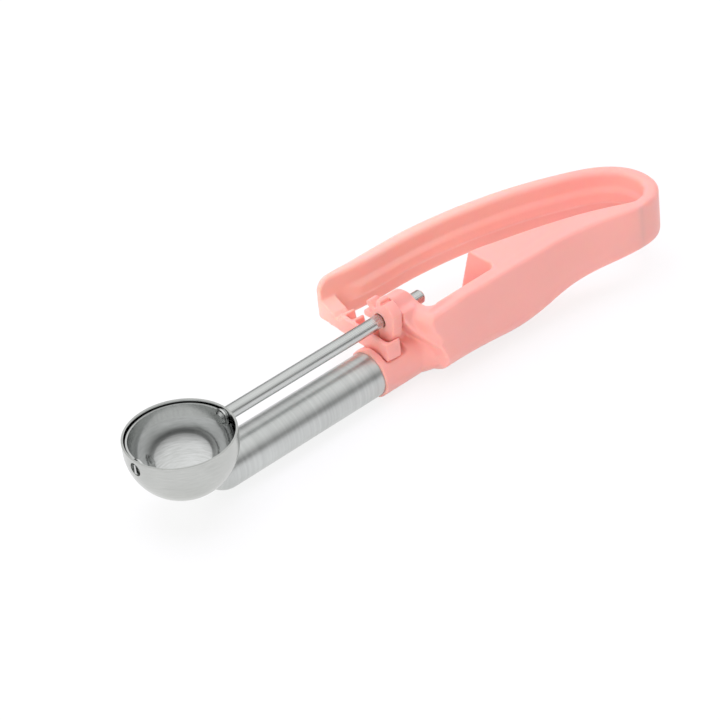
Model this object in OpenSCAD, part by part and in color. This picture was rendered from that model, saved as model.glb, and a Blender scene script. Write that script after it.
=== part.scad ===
// Squeeze-handle ice cream disher, millimetres, +Z up.
// Everything is drawn about the centre of the bowl's rim, with the tube running along +X and the
// squeeze arm on the +Y side, and placed() then puts the origin under the middle of the whole tool,
// on the surface it rests on.

/* [Bowl] */
// Outer diameter of the bowl
bowl_d = 36.7; // [34:0.1:40]
// Thickness of the bowl's sheet
bowl_wall = 0.7; // [0.5:0.05:1]
// Depth of the blade's pivot line below the rim, which is also the height of the straight band
pivot_drop = 3.3; // [3:0.1:4]
// Diameter of the round hole at the front pivot
front_hole_d = 4.6; // [4.2:0.1:5]

/* [Tube and rod] */
// Outer diameter of the handle tube
tube_d = 15.875; // [15:0.025:16.5]
// Thickness of the tube's wall
tube_wall = 0.8; // [0.6:0.05:1.2]
// Depth of the tube's centre line below the rim
tube_drop = 20.8; // [20.5:0.1:21.5]
// Diameter of the drive rod
rod_d = 4.76; // [4.5:0.02:5]
// Where the tube's open end meets the plastic neck
neck_x = 77.5; // [77:0.1:78]
// Rear end of the drive rod
rod_end_x = 103.2; // [101:0.1:106]

/* [Scraper blade] */
// Width of the blade strip
blade_w = 4.8; // [4:0.1:5.6]
// Thickness of the blade strip
blade_t = 0.6; // [0.4:0.05:0.8]
// Gap between the blade and the inside of the bowl
blade_gap = 0.35; // [0.25:0.05:0.6]

/* [Rack and pinion] */
// Number of tooth places round the pinion
tooth_places = 8; // [8:1:8]
// Pitch radius of the pinion
pitch_r = 6.4; // [6.35:0.05:6.45]
// Height of a pinion tooth above the pitch circle
addendum = 1.5; // [1.3:0.1:1.5]
// Depth of a pinion tooth space below the pitch circle
dedendum = 1.9; // [1.8:0.1:2]
// Thickness of a pinion tooth, which is nearly parallel-sided
tooth_t = 2.15; // [2:0.05:2.4]
// Front face of the pinion
pinion_x = 84.6; // [84.4:0.1:84.8]
// Face width of the pinion
pinion_w = 4.2; // [3.8:0.1:4.3]
// Thickness of the rack bar, along the rod
rack_w = 6; // [5.8:0.1:6.1]
// Thickness of the lip in front of the rack's teeth
lip_t = 1.7; // [1.2:0.1:1.8]
// Turn of the rack bar from square to the rod while the arm is open
rest_turn = 4.5; // [4.4:0.1:4.6]
// Turn of the arm from open to fully squeezed
squeeze_turn = 9; // [8.8:0.1:9]

/* [Handle] */
// Front wall of the rack channel
channel_x0 = 80.3; // [80.2:0.1:80.4]
// Rear wall of the rack channel
channel_x1 = 89.4; // [89.3:0.1:89.6]
// Thickness of the loop's band
band_t = 5.2; // [4.6:0.1:5.6]
// Height of the loop's band
band_h = 17; // [16:0.5:18]
// How far the stiffening rib stands off the band's inner face
rib_out = 1.1; // [0.6:0.1:1.6]

/* [Hidden] */
$fn = 96;

bowl_r = bowl_d / 2;
bowl_in_r = bowl_r - bowl_wall;
tube_r = tube_d / 2;
rod_r = rod_d / 2;
rest_z = -tube_drop - tube_r;          // the surface that the tube and the grip lie on
rod_fit = 0.06;                        // radial running clearance of the rod
spigot_len = 25;
bore_gap = 0.03;

// tube nose: the lower half of the tube's end is domed in under the bowl
nose_x = 14;
braze_leg = 0.9;

// pinion and rack
pitch = 2 * PI * pitch_r / tooth_places;
tip_r = pitch_r + addendum;
root_r = pitch_r - dedendum;
rack_pitch_z = -pivot_drop - pitch_r;
rack_tip_z = rack_pitch_z + 1.5;
rack_root_z = rack_pitch_z - 1.95;
rack_low_z = rack_pitch_z - 5.2;
rack_centre = [84.2, 0.1];             // where the rack's middle line crosses under the rod at rest
rack_end = -7;                         // rack's free end, measured along the bar
rack_len = 30.4;                       // rack's other end, flush with the arm's outer side
stop_from = 112;                       // the solid stop sector of the pinion, degrees from +Y

// hinge of the squeeze arm, in the bend of the loop
hinge = [190.4, 5.4];
hinge_gap = 0.2;

// ---- smooth curves through a few key points ----
function seg(k, x, i = 0) = (i >= len(k) - 2 || x < k[i + 1][0]) ? i : seg(k, x, i + 1);
function slope(k, i) =
    let (a = max(i - 1, 0), b = min(i + 1, len(k) - 1)) (k[b][1] - k[a][1]) / (k[b][0] - k[a][0]);
function hermite(a, b, ta, tb, t) =
    a * (2 * pow(t, 3) - 3 * t * t + 1) + ta * (pow(t, 3) - 2 * t * t + t)
    + b * (3 * t * t - 2 * pow(t, 3)) + tb * (pow(t, 3) - t * t);
// height of the smooth curve through keys k at x
function curve(k, x) =
    let (i = seg(k, x), h = k[i + 1][0] - k[i][0], t = min(1, max(0, (x - k[i][0]) / h)))
    hermite(k[i][1], k[i + 1][1], slope(k, i) * h, slope(k, i + 1) * h, t);
function knot(p, i) = p[min(max(i, 0), len(p) - 1)];
// point number u (whole part: which span, fraction: how far along it) of the smooth path through p
function along(p, u) =
    let (i = min(floor(u), len(p) - 2), t = u - i)
    hermite(p[i], p[i + 1], (knot(p, i + 1) - knot(p, i - 1)) / 2,
            (knot(p, i + 2) - knot(p, i)) / 2, t);
function path(p, steps) = [for (i = [0 : steps]) along(p, i * (len(p) - 1) / steps)];
function heading(q, i) =
    let (a = q[max(i - 1, 0)], b = q[min(i + 1, len(q) - 1)]) atan2(b.y - a.y, b.x - a.x);
function turned(p, a, c) =
    let (d = p - c) [c.x + d.x * cos(a) - d.y * sin(a), c.y + d.x * sin(a) + d.y * cos(a)];

// ---- closed skins through rings of equal length ----
function skin_faces(rings, n) = concat(
    [[for (j = [0 : n - 1]) j]],
    [[for (j = [n - 1 : -1 : 0]) (rings - 1) * n + j]],
    [for (i = [0 : rings - 2], j = [0 : n - 1]) [i * n + j, (i + 1) * n + j, (i + 1) * n + (j + 1) % n]],
    [for (i = [0 : rings - 2], j = [0 : n - 1]) [i * n + j, (i + 1) * n + (j + 1) % n, i * n + (j + 1) % n]]);
module skin(rings) {
    points = [for (r = rings) each r];
    polyhedron(points, skin_faces(len(rings), len(rings[0])), convexity = 8);
}

// ---- grip: sections across X, from the rack channel to the bend ----
near_keys = [[88.9, -9.2], [92.5, -12], [96, -15], [100, -16], [112, -16.4], [126, -16.9],
             [140, -17.9], [152, -18.9], [160, -19.9], [168, -21.2], [176, -22.7], [184, -23.8]];
far_keys = [[88.9, 6.1], [96, 6.1], [99, 4.4], [103, 3.4], [128, 3.2], [140, 0], [154, -5],
            [168, -10.7], [178, -15.3], [184, -18.6]];
lean_keys = [[88.9, 0.06], [96, 0.08], [100, 0.25], [128, 0.3], [145, 0.24], [160, 0.1], [176, 0], [184, 0]];
top_keys = [[88.9, 2.8], [95, 2.8], [98, 1.6], [102, 0.2], [106, 0], [184, 0]];
low_keys = [[88.9, -29], [124, -28.8], [132, -28.3], [138, -26.9], [144, -24.5], [150, -21.2], [155, -18.6],
            [160, -17.3], [166, -17], [184, -17]];
near_low_r = [[88.9, 8.4], [98, 8.8], [135, 7.8], [147, 5.6], [156, 3.4], [184, 2.2]];
far_low_r = [[88.9, 8], [98, 8], [135, 7], [147, 5], [156, 3], [184, 2]];
far_top_r = [[88.9, 6.0], [96, 6.0], [99, 2.4], [103, 1.5], [184, 1.3]];
// the flare behind the channel leans back: its foot lies further along X than its top
sweepback = [[88.9, 0], [92.5, 4.5], [97, 5.5], [104, 3.5], [114, 0], [184, 0]];
near_top_r = 2;
grip_stations = concat([88.9, 90.5, 92.5, 94.5, 96, 97.5, 99, 101, 103, 106, 110, 116, 123, 129],
                       [for (x = [134 : 3 : 161]) x], [for (x = [165 : 4.75 : 184]) x]);
corner_steps = 5;
function corner(y, z, r, a0) =
    [for (i = [0 : corner_steps]) let (a = a0 + 90 * i / corner_steps) [y + r * cos(a), z + r * sin(a)]];
function grip_section(x) =
    let (yn = curve(near_keys, x), yf = curve(far_keys, x), zt = curve(top_keys, x),
         zb = max(rest_z, curve(low_keys, x)), lean = curve(lean_keys, x), back = curve(sweepback, x),
         rn = curve(near_low_r, x), rf = curve(far_low_r, x), rt = curve(far_top_r, x),
         outline = concat(
             corner(yf - rt, zt - rt, rt, 0),
             corner(yn + near_top_r, zt - near_top_r, near_top_r, 90),
             corner(yn + rn, zb + rn, rn, 180),
             corner(yf - rf, zb + rf, rf, 270)))
    [for (q = outline)
        let (side = (q.x - yn) / (yf - yn), down = (zt - q.y) / (zt - zb))
        [x + back * down * down, q.x + lean * (zt - q.y) * side, q.y]];

// ---- loop band: one section carried along a plan path ----
arm_path = [[84.6, 29.7], [88, 29.5], [92, 29.3], [98, 28.8], [104, 28.4], [124, 28.2], [144, 25.8],
            [163, 20.9], [179, 13.9], hinge];
bend_path = [hinge, [196.4, -1.2], [198.8, -8.2], [197.2, -15.2], [191.6, -20], [183, -21.1], [176, -19.9]];
arm_steps = 34;
bend_steps = 20;
// section of the band: outer side is plain, inner side has a rounded rib half way down
function band_section(t, rib, h) =
    let (o = t / 2, r = min(1.8, t * 0.42), c = -h * 0.52)
    concat([for (a = [0 : 30 : 90]) [o - r + r * cos(a), -r + r * sin(a)]],
           [for (a = [90 : 30 : 180]) [-o + r + r * cos(a), -r + r * sin(a)]],
           [[-o, c + 3.4], [-o - rib, c + 1.6], [-o - rib, c - 1.6], [-o, c - 3]],
           [for (a = [180 : 30 : 270]) [-o + r + r * cos(a), -h + r + r * sin(a)]],
           [for (a = [270 : 30 : 360]) [o - r + r * cos(a), -h + r + r * sin(a)]]);
// rib fades out towards the free end; w is the offset to the loop's outer side, on the path's left
function band_ring(q, i, t, rib, outside, h = band_h, top = 0) =
    let (a = heading(q, i))
    [for (s = band_section(t, rib, h))
        [q[i].x - outside * s.x * sin(a), q[i].y + outside * s.x * cos(a), top + s.y * (h + top) / h]];
// the band thins to its free end, where its top corner is rounded down to the rack bar
arm_low = [[84, 14.8], [88, 15.4], [93, 16.6], [98, band_h], [102, band_h], [200, band_h]];
arm_top = [[84.6, -3.4], [85.2, -1.6], [86.2, -0.6], [87.6, -0.08], [89, 0], [91, 0], [200, 0]];
arm_thick = [[84.6, 2.2], [88, 2.7], [92, 3.3], [98, 4.2], [104, 4.8], [120, band_t], [130, band_t], [200, band_t]];
arm_line = path(arm_path, arm_steps);
function arm_ring(i) =
    let (x = arm_line[i].x)
    band_ring(arm_line, i, curve(arm_thick, x), rib_out * min(1, max(0, (x - 92) / 8)), 1,
              curve(arm_low, x), curve(arm_top, x));
bend_line = path(bend_path, bend_steps);

// ---- overall size, for the origin ----
arm_top_y = max([for (i = [0 : arm_steps]) for (p = arm_ring(i)) p.y]);
bend_tip_x = max([for (i = [0 : bend_steps]) for (p = band_ring(bend_line, i, band_t, 0, 1)) p.x]);
grip_low_y = min(concat([for (x = grip_stations) curve(near_keys, x)],
                        [for (i = [0 : bend_steps]) for (p = band_ring(bend_line, i, band_t, 0, 1)) p.y]));
middle = [(bend_tip_x - bowl_r) / 2, (arm_top_y + grip_low_y) / 2];
module placed() { translate([-middle.x, -middle.y, -rest_z]) children(); }
module along_x(x, y = 0, z = 0) { translate([x, y, z]) rotate([90, 0, 90]) children(); }
module pivot_line(x) { along_x(x, 0, -pivot_drop) children(); }

// ---- bowl, tube and blade ----
module ball(r) { translate([0, 0, -pivot_drop]) sphere(r = r); }
module bowl_space(r) {
    ball(r);
    translate([0, 0, -pivot_drop]) cylinder(r = r, h = pivot_drop + 5);
}

module bowl() {
    color("silver") placed() difference() {
        intersection() {
            bowl_space(bowl_r);
            translate([0, 0, -bowl_r - pivot_drop - 1])
                cylinder(r = bowl_r + 1, h = bowl_r + pivot_drop + 1);
        }
        bowl_space(bowl_in_r);
        pivot_line(-bowl_r - 1) cylinder(d = front_hole_d, h = 6);
        pivot_line(bowl_in_r - 3) cylinder(r = rod_r + rod_fit, h = 6);
    }
}

// outline of the tube's half section: straight wall and domed end, r across and x up the page
module tube_half(r) {
    intersection() {
        union() {
            translate([0, nose_x]) circle(r = r);
            translate([0, nose_x]) square([r, neck_x - nose_x]);
        }
        square([r + 1, neck_x + 1]);
    }
}

module tube() {
    color("silver") placed() difference() {
        along_x(0, 0, -tube_drop) rotate_extrude() difference() {
            tube_half(tube_r);
            tube_half(tube_r - tube_wall);
        }
        ball(bowl_r);
        translate([pin_x, 0, rest_z - 1]) cylinder(r = pin_r, h = 6);
    }
}

// filler metal that runs round the joint of tube and bowl, above the dome
module braze_fillet() {
    color("gainsboro") placed() difference() {
        intersection() {
            along_x(4, 0, -tube_drop) cylinder(r = tube_r + braze_leg, h = 20);
            ball(bowl_r + braze_leg);
            translate([0, -20, -tube_drop]) cube([40, 40, 40]);
        }
        along_x(0, 0, -tube_drop) cylinder(r = tube_r, h = 40);
        ball(bowl_r);
    }
}

blade_r = bowl_in_r - blade_gap;
ear_r = 3;
tenon_r = 1.6;
module scraper_blade() {
    color("gainsboro") placed() translate([0, 0, -pivot_drop]) {
        difference() {
            intersection() {
                difference() {
                    sphere(r = blade_r);
                    sphere(r = blade_r - blade_t);
                }
                union() {
                    translate([-bowl_r, 0, -blade_w / 2]) cube([bowl_d, bowl_r, blade_w]);
                    along_x(-bowl_r) cylinder(r = ear_r, h = bowl_d);
                }
            }
            along_x(10) cylinder(r = tenon_r, h = 10);
        }
        // flat tang that turns in the front hole
        translate([-bowl_r + 0.05, -0.45, -1.7]) cube([bowl_r - blade_r + 0.25, 0.9, 3.4]);
    }
}

// ---- drive rod and pinion ----
knurl_teeth = 18;
knurl_front = 3;
module drive_rod() {
    shoulder_x = blade_r - 0.06;
    knurl_x0 = pinion_x - knurl_front;
    knurl_x1 = pinion_x + pinion_w;
    color("silver") placed() {
        pivot_line(shoulder_x) cylinder(r = rod_r, h = knurl_x0 - shoulder_x);
        pivot_line(knurl_x0) linear_extrude(knurl_x1 - knurl_x0) polygon(
            [for (i = [0 : 2 * knurl_teeth - 1])
                let (a = i * 180 / knurl_teeth, r = rod_r - 0.04 - (i % 2) * 0.22) r * [cos(a), sin(a)]]);
        pivot_line(knurl_x1) cylinder(r = rod_r, h = rod_end_x - knurl_x1 - 0.6);
        pivot_line(rod_end_x - 0.6) cylinder(r1 = rod_r, r2 = rod_r - 0.5, h = 0.6);
        // tenon through the blade's ear, peened over inside the bowl
        pivot_line(shoulder_x - 0.9) cylinder(r = tenon_r - 0.02, h = 0.9);
        pivot_line(shoulder_x - 1.6) cylinder(r1 = 1.5, r2 = 2.3, h = 0.75);
    }
}

// one pinion tooth, pointing along +X of the outline plane
module tooth_outline() {
    r = 0.7;
    polygon(concat([[root_r - 1, -tooth_t / 2 - 0.35], [root_r + 0.5, -tooth_t / 2 - 0.1]],
        [for (a = [-90 : 30 : 0]) [tip_r - r + r * cos(a), -tooth_t / 2 + r + r * sin(a)]],
        [for (a = [0 : 30 : 90]) [tip_r - r + r * cos(a), tooth_t / 2 - r + r * sin(a)]],
        [[root_r + 0.5, tooth_t / 2 + 0.1], [root_r - 1, tooth_t / 2 + 0.35]]));
}

module pinion() {
    stop_r = tip_r - 0.1;
    color("lightpink") placed() pivot_line(pinion_x) linear_extrude(pinion_w) difference() {
        union() {
            circle(r = root_r);
            for (i = [0 : tooth_places - 1]) {
                a = 270 - i * 360 / tooth_places;
                if (a > 230 || a < 100) rotate(a) tooth_outline();
            }
            // solid stop sector, run together with the lowest tooth; its near side is nearly flat
            polygon(concat([[0, 0], 6.2 * [cos(stop_from - 5), sin(stop_from - 5)]],
                [for (a = [stop_from + 2 : 5 : 151]) stop_r * [cos(a), sin(a)]],
                [[-6.5, 1.2], [-5.35, -5.6]],
                [for (a = [230 : 5 : 265]) stop_r * [cos(a), sin(a)]]));
        }
        circle(r = rod_r + 0.02);
    }
}

// ---- handle moulding ----
neck_r = 8.7;
slot_floor_z = rack_low_z - 0.35;
window_x0 = 96.3;
window_x1 = 128;
window_y0 = -9.5;
window_z0 = -18.6;
pin_x = neck_x - 9;
pin_r = 1.5;

module neck() {
    intersection() {
        union() {
            along_x(neck_x + 0.8, 0, -tube_drop) cylinder(r = neck_r, h = 17);
            along_x(neck_x, 0, -tube_drop) cylinder(r1 = neck_r - 0.5, r2 = neck_r, h = 0.8);
        }
        translate([neck_x - 1, -20, rest_z]) cube([40, 40, 40]);
    }
    along_x(neck_x - spigot_len, 0, -tube_drop)
        cylinder(r = tube_r - tube_wall - bore_gap, h = spigot_len + 1);
}

module window_cut() {
    r = 3;
    translate([0, 0, window_z0]) linear_extrude(40) {
        translate([window_x0 + r, window_y0 + r]) circle(r = r);
        translate([window_x1 - r, window_y0 + r]) circle(r = r);
        translate([window_x0, window_y0 + r]) square([window_x1 - window_x0, 40]);
        translate([window_x0 + r, window_y0]) square([window_x1 - window_x0 - 2 * r, 40]);
    }
}

module bend() {
    difference() {
        skin([for (i = [0 : bend_steps]) band_ring(bend_line, i, band_t, rib_out, 1)]);
        // seat of the squeeze arm's rounded end
        translate([hinge.x, hinge.y, -band_h - 1]) cylinder(r = band_t / 2 + hinge_gap, h = band_h + 2);
        translate([hinge.x, hinge.y, -band_h - 1]) rotate(heading(bend_line, 0))
            translate([-10, -10, 0]) cube([10 + 1.2, 20, band_h + 2]);
    }
}

module handle_body() {
    color("lightpink") placed() difference() {
        union() {
            neck();
            skin([for (x = grip_stations) grip_section(x)]);
            bend();
        }
        // rack channel, open above, with the rack bar's sweep cleared on its far side
        translate([channel_x0, -30, slot_floor_z]) cube([channel_x1 - channel_x0, 60, 60]);
        window_cut();
        pivot_line(channel_x1 - 1) cylinder(r = rod_r + rod_fit, h = 20);
        translate([pin_x, 0, rest_z - 1]) cylinder(r = pin_r, h = 1 + tube_r + 4);
    }
}

module tube_pin() {
    color("silver") placed() translate([pin_x, 0, rest_z + 0.15]) cylinder(r = pin_r - 0.01, h = tube_r + 3.5);
}

// ---- squeeze arm with its rack ----
module rack() {
    gap_top = 4.2;
    gap_low = 2.9;
    // from the free end's underside to the ramp that climbs to the arm, and a shallow last space
    back = [[rack_end, rack_low_z], [rack_len - 1.6, rack_low_z], [rack_len - 0.5, rack_low_z + 0.5],
            [rack_len, rack_low_z + 1.6], [rack_len, rack_tip_z + 0.9], [rack_len - 1.6, rack_tip_z + 0.9],
            [4 * pitch + 2.05, rack_tip_z - 1.4], [4 * pitch + 1.2, rack_root_z + 0.9],
            [4 * pitch - 1.2, rack_root_z + 0.9], [4 * pitch - gap_top / 2 + 0.05, rack_tip_z]];
    teeth = concat(back,
        [for (k = [3 : -1 : 1]) each [
            [k * pitch + gap_top / 2, rack_tip_z], [k * pitch + gap_low / 2, rack_root_z],
            [k * pitch - gap_low / 2, rack_root_z], [k * pitch - gap_top / 2, rack_tip_z]]],
        // the first space is wide: it holds the stop sector, which rests against the end block
        [[gap_top / 2, rack_tip_z], [gap_low / 2, rack_root_z], [-5.2, rack_root_z], [-5.8, rack_tip_z],
         [rack_end, rack_tip_z]]);
    translate([rack_centre.x, rack_centre.y, 0]) rotate([90, 0, 90 - rest_turn]) translate([0, 0, -rack_w / 2]) {
        linear_extrude(rack_w) polygon(teeth);
        // lip that closes the spaces in front of the pinion
        linear_extrude(lip_t) polygon(concat(back, [[rack_end, rack_tip_z]]));
    }
}

module squeeze_arm() {
    color("lightpink") placed() difference() {
        union() {
            skin([for (i = [0 : arm_steps]) arm_ring(i)]);
            translate([hinge.x, hinge.y, 0.3 - band_h]) cylinder(r = band_t / 2 - 0.04, h = band_h - 0.6);
            rack();
        }
        // relief on the inner side, so that the arm closes past the pinion
        translate([hinge.x, hinge.y, 0]) rotate(-squeeze_turn) translate([-hinge.x, -hinge.y, 0])
            pivot_line(pinion_x - 0.5) cylinder(r = tip_r + 0.35, h = pinion_w + 1.2);
    }
}

bowl();
braze_fillet();
tube();
scraper_blade();
drive_rod();
pinion();
handle_body();
squeeze_arm();
tube_pin();
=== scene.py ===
# %% [markdown]
# # A squeeze-handle ice cream disher
# The scene dresses a packed CAD model. The CAD part fixes every size and every moving body; this
# script adds the finish and the softer forms of the real thing. Sizes are written in millimetres
# from the centre of the bowl's rim, with the tube along +X and the squeeze arm on the +Y side.

# %% Load the frame
import math
import bmesh
import bpy
import numpy as np
from mathutils import Matrix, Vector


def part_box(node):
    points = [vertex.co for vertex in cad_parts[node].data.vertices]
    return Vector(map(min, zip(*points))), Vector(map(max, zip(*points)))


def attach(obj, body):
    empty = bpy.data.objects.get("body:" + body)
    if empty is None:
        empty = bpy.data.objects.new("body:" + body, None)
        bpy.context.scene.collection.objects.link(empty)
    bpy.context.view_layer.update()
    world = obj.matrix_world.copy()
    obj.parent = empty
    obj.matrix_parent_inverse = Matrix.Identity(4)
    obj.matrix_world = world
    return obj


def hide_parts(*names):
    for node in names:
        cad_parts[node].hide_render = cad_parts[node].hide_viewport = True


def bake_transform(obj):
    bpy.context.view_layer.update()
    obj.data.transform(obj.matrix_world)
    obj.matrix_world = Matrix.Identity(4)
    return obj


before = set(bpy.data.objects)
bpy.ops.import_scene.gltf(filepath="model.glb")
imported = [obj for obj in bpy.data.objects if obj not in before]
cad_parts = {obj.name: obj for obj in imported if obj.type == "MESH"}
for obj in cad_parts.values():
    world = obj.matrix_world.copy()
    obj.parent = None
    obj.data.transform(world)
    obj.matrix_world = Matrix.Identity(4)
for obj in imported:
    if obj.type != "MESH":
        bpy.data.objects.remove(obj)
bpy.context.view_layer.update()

MM = 1000.0   # millimetres in a metre
rod_low, rod_high = (np.array(corner, float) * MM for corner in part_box("drive_rod"))
bowl_low, bowl_high = (np.array(corner, float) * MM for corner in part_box("bowl"))
ORIGIN = np.array([(bowl_low[0] + bowl_high[0]) / 2, (rod_low[1] + rod_high[1]) / 2, bowl_high[2]])
print("centre of the rim, mm:", ORIGIN)

# %% [markdown]
# ## Sizes
# The tool is thin stock metal in a plastic moulding: a 3/16 inch rod, a 5/8 inch tube and a bowl of
# 0.7 mm sheet. Each size could be typed where it is used, but then a change would have to be found
# in many places. They are named once here and read from here by every piece.

# %% Sizes that the pieces share, in millimetres
PIVOT_Z = -3.3            # the rod's axis, below the rim
BOWL_R = 18.35            # outside of the bowl
BOWL_STRAIGHT = 3.0       # straight band above the half sphere
TUBE_R = 15.875 / 2
TUBE_Z = -20.8            # the tube's axis
REST_Z = TUBE_Z - TUBE_R  # the surface that the tool lies on
ROD_R = 2.38
NECK_X, NECK_R = 77.5, 8.7   # where the moulding begins, and its round holder for the tube
BAND_H, BAND_T = 17.4, 5.2   # depth and thickness of the loop's band
print("the tool rests at z, mm:", REST_Z)

# %% [markdown]
# ## The camera
# A photograph of a small tool is taken from about a metre away with a long lens, so that the far
# end looks nearly as large as the near end. The camera could be turned by eye, but a position and
# three axes that were worked out from the bowl's rim and the rod's line put every edge where the
# photograph has it.

# %% Camera, fitted to the photograph: its place in millimetres, and three unit axes
scene = bpy.context.scene
CAMERA_AT = np.array([-399.78, -598.44, 525.29])
CAMERA_RIGHT = np.array([0.73358611, -0.67208014, -0.10079536])
CAMERA_UP = np.array([0.45199572, 0.37175093, 0.81086442])
CAMERA_BACK = np.array([-0.50749511, -0.64039795, 0.57648867])

cam_data = bpy.data.cameras.new("photo_camera")
cam = bpy.data.objects.new("photo_camera", cam_data)
scene.collection.objects.link(cam)
cam_data.sensor_width = 36.0
FOCAL_PX, PICTURE_PX = 2869.0, 720.0
cam_data.lens = cam_data.sensor_width * FOCAL_PX / PICTURE_PX
cam_data.clip_start, cam_data.clip_end = 0.05, 10.0   # metres
print("lens, mm:", round(cam_data.lens, 1))
pose = np.eye(4)
pose[:3, 0], pose[:3, 1], pose[:3, 2] = CAMERA_RIGHT, CAMERA_UP, CAMERA_BACK
pose[:3, 3] = (CAMERA_AT + ORIGIN) / MM
cam.matrix_world = Matrix(pose.tolist())
scene.camera = cam
scene.view_settings.view_transform = "Standard"

# %% [markdown]
# ## A short way to write materials
# A Blender material is a graph of nodes. It can be drawn by hand, or built link by link in a long
# script. Here one small class wraps a socket, so that a formula such as fine * 0.6 + broad * 0.4
# adds its own Math nodes, and a second class holds the material and makes every other node.


# %% Shader maths written as Python
class Val:
    """A socket of one node tree. The operators + - * / add Math nodes and give back a new Val."""

    def __init__(self, tree, socket):
        self.tree, self.socket = tree, socket

    def _math(self, operation, *values):
        """One Math node, fed with sockets or plain numbers."""
        made = self.tree.nodes.new("ShaderNodeMath")
        made.operation = operation
        for slot, value in zip(made.inputs, values):
            feed(self.tree, slot, value)
        return Val(self.tree, made.outputs[0])

    def __add__(self, other): return self._math("ADD", self, other)
    def __radd__(self, other): return self._math("ADD", other, self)
    def __sub__(self, other): return self._math("SUBTRACT", self, other)
    def __rsub__(self, other): return self._math("SUBTRACT", other, self)
    def __mul__(self, other): return self._math("MULTIPLY", self, other)
    def __rmul__(self, other): return self._math("MULTIPLY", other, self)
    def __truediv__(self, other): return self._math("DIVIDE", self, other)
    def __rtruediv__(self, other): return self._math("DIVIDE", other, self)

    def clamp(self):
        """The same value, held between 0 and 1."""
        made = self._math("ADD", self, 0.0)
        made.socket.node.use_clamp = True
        return made


def feed(tree, slot, value):
    """Links a Val or a socket to an input, or sets a plain value there."""
    if isinstance(value, Val):
        tree.links.new(value.socket, slot)
    elif isinstance(value, bpy.types.NodeSocket):
        tree.links.new(value, slot)
    else:
        slot.default_value = value


def colour_ramp(tree, value, *stops):
    """A Color Ramp node with stops of (position, colour), fed by a value."""
    made = tree.nodes.new("ShaderNodeValToRGB")
    elements = made.color_ramp.elements
    while len(elements) < len(stops):
        elements.new(0.5)
    for element, (at, colour) in zip(elements, stops):
        element.position, element.color = at, (*colour, 1)
    feed(tree, made.inputs[0], value)
    return Val(tree, made.outputs[0])


print("operators ready:", [name for name in vars(Val) if name.startswith("__r")])


# %% A material under construction
class Finish:
    """One material, with its nodes made by node() and its surface set by surface()."""

    def __init__(self, name):
        self.material = bpy.data.materials.new(name)
        self.material.use_nodes = True
        self.tree = self.material.node_tree
        self.shader = self.tree.nodes["Principled BSDF"]
        self.place = self.node("ShaderNodeTexCoord", out="Object")

    def node(self, kind, settings=None, out=0, **inputs):
        """Any node: its settings first, then its sockets by name, or by number as in0, in1 ..."""
        made = self.tree.nodes.new(kind)
        for name, value in (settings or {}).items():
            setattr(made, name, value)
        for name, value in inputs.items():
            numbered = name.startswith("in") and name[2:].isdigit()
            slot = made.inputs[int(name[2:]) if numbered else name.replace("_", " ")]
            feed(self.tree, slot, value)
        return Val(self.tree, made.outputs[out])

    def ramp(self, value, *stops):
        """A colour for each value, from stops of (position, colour)."""
        return colour_ramp(self.tree, value, *stops)

    def mix_colour(self, factor, first, second):
        """The first colour where the factor is 0, the second where it is 1."""
        return self.node("ShaderNodeMix", {"data_type": "RGBA"}, out=2,
                         in0=factor, in6=first, in7=second)

    def stretched_noise(self, scale, stretch, detail=3.0):
        """Noise whose grains are stretch times longer or shorter along each axis."""
        mapped = self.node("ShaderNodeMapping", Vector=self.place, Scale=stretch)
        return self.node("ShaderNodeTexNoise", out="Fac", Vector=mapped, Scale=scale, Detail=detail)

    def surface(self, **inputs):
        """Sets sockets of the Principled shader, with _ for each space in a name."""
        for name, value in inputs.items():
            feed(self.tree, self.shader.inputs[name.replace("_", " ")], value)

    def bump(self, height, strength, distance):
        """A relief of the given height field; distance is in metres."""
        made = self.tree.nodes.new("ShaderNodeBump")
        made.inputs["Strength"].default_value = strength
        made.inputs["Distance"].default_value = distance
        feed(self.tree, made.inputs["Height"], height)
        feed(self.tree, self.shader.inputs["Normal"], made.outputs[0])


print("a finish can:", [name for name in vars(Finish) if not name.startswith("_")])

# %% [markdown]
# ## The steels
# The bowl is pressed and polished inside, the tube is turned with a fine round-and-round grain, and
# the rod is drawn, with its grain along its length. A picture of brushed metal wrapped on each piece
# would show one grain only, so the grain is made from noise that is stretched along each piece's own
# direction. The same noise feeds colour, roughness and a slight relief, as a scratch changes all
# three at once.

# %% Steel finishes
STEEL_TONE, BLADE_TONE = (0.57, 0.585, 0.575), (0.6, 0.61, 0.6)
BOWL_TONE, BRAZE_TONE = (0.53, 0.54, 0.52), (0.42, 0.42, 0.4)
POLISHED_LOW, POLISHED_HIGH = (0.5, 0.51, 0.5), (0.68, 0.69, 0.69)
POLISHED_ROUGHNESS = 0.1
MID_WALL, POLISH_STEP = 0.25, 8.0        # the polish begins this far in, over 1/8 mm
BROAD_SCALE, RELIEF_DEPTH = 70.0, 0.0001


def scaled(colour, factor):
    """A colour times a number, no channel above 1."""
    return [min(1.0, c * factor) for c in colour]


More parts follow.
